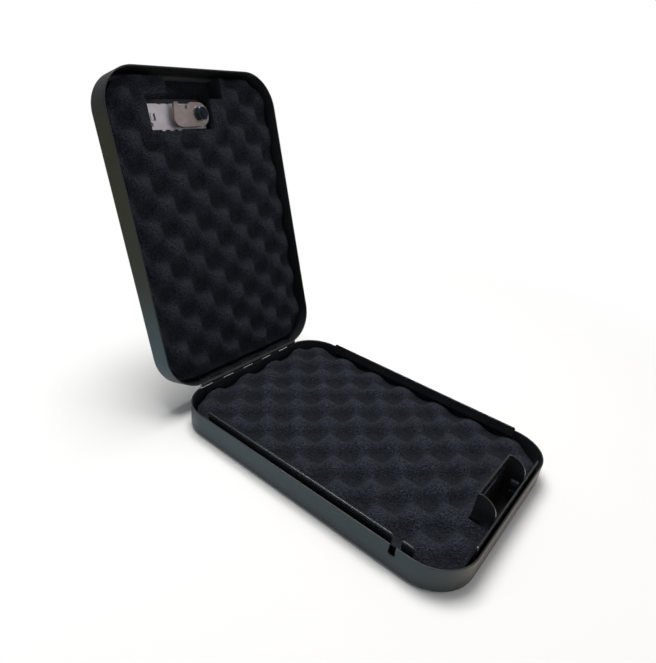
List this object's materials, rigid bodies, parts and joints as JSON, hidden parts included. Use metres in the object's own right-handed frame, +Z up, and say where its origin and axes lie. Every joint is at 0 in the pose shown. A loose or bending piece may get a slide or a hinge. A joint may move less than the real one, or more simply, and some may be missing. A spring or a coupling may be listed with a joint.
{
  "type": "security safe",
  "caption": "Small portable safe with its lid open: pressed steel base and lid on a piano hinge, egg-crate foam, a slotted catch bracket and a combination cam lock.",
  "frame": {"origin": "middle of the base's flat underside", "axes": "+X across the safe, to the right as seen from its front; +Y from the front wall to the hinge; +Z up. The rest pose has the lid open at its stop."},
  "size_m": [0.178, 0.368, 0.2666],
  "materials": {
    "black_coat": "satin black powder coat on steel",
    "foam": "charcoal open-cell egg-crate foam",
    "pin_steel": "plain steel",
    "zinc": "satin die-cast zinc, which weighs about as much as iron",
    "black_zinc": "black zinc plated steel",
    "bezel_black": "satin black coat on die-cast zinc",
    "knob_metal": "satin nickel on die-cast zinc",
    "wheel_black": "black moulded number wheels with white numbers",
    "hub_brass": "turned brass",
    "spring_steel": "bright spring steel",
    "tab_zinc": "satin die-cast zinc"
  },
  "bodies": {
    "base": {"base_shell": "black_coat", "side_strip_left_rear": "black_coat", "side_strip_left_front": "black_coat", "side_strip_right": "black_coat", "front_strip": "black_coat", "catch_bracket": "black_coat", "base_foam": "foam", "hinge_base_leaf": "black_coat", "hinge_pin": "pin_steel"},
    "lid": {"lid_shell": "black_coat", "lid_foam": "foam", "hinge_lid_leaf": "black_coat", "lock_bezel": "bezel_black", "lock_chassis": "zinc", "chassis_screws": "pin_steel", "dial_axle": "pin_steel", "detent_spring": "spring_steel", "fence_spring": "spring_steel", "lock_fence": "spring_steel"},
    "knob": {"lock_knob": "knob_metal", "lock_spindle": "zinc", "lock_cam": "zinc", "cam_washer": "pin_steel", "cam_nut": "black_zinc"},
    "wheel_1": {"dial_1": "wheel_black", "dial_hub_1": "hub_brass"},
    "wheel_2": {"dial_2": "wheel_black", "dial_hub_2": "hub_brass"},
    "wheel_3": {"dial_3": "wheel_black", "dial_hub_3": "hub_brass"},
    "reset": {"reset_tab": "tab_zinc"}
  },
  "joints": [
    {"name": "lid_hinge", "type": "hinge", "parent": "base", "child": "lid", "pos_m": [0, 0.1291, 0.02235], "axis": [1, 0, 0], "range_deg": [0, 108.6]},
    {"name": "knob_turn", "type": "hinge", "parent": "lid", "child": "knob", "pos_m": [0.003, 0.22189, 0.22705], "axis": [0, 0.9478, -0.319], "range_deg": [0, 90]},
    {"name": "dial_1_spin", "type": "hinge", "parent": "lid", "child": "wheel_1", "pos_m": [-0.0305, 0.22331, 0.22657], "axis": [1, 0, 0], "continuous": true},
    {"name": "dial_2_spin", "type": "hinge", "parent": "lid", "child": "wheel_2", "pos_m": [-0.0223, 0.22331, 0.22657], "axis": [1, 0, 0], "continuous": true},
    {"name": "dial_3_spin", "type": "hinge", "parent": "lid", "child": "wheel_3", "pos_m": [-0.0141, 0.22331, 0.22657], "axis": [1, 0, 0], "continuous": true},
    {"name": "reset_slide", "type": "slide", "parent": "lid", "child": "reset", "axis": [1, 0, 0], "range_m": [0, 0.0022]}
  ]
}
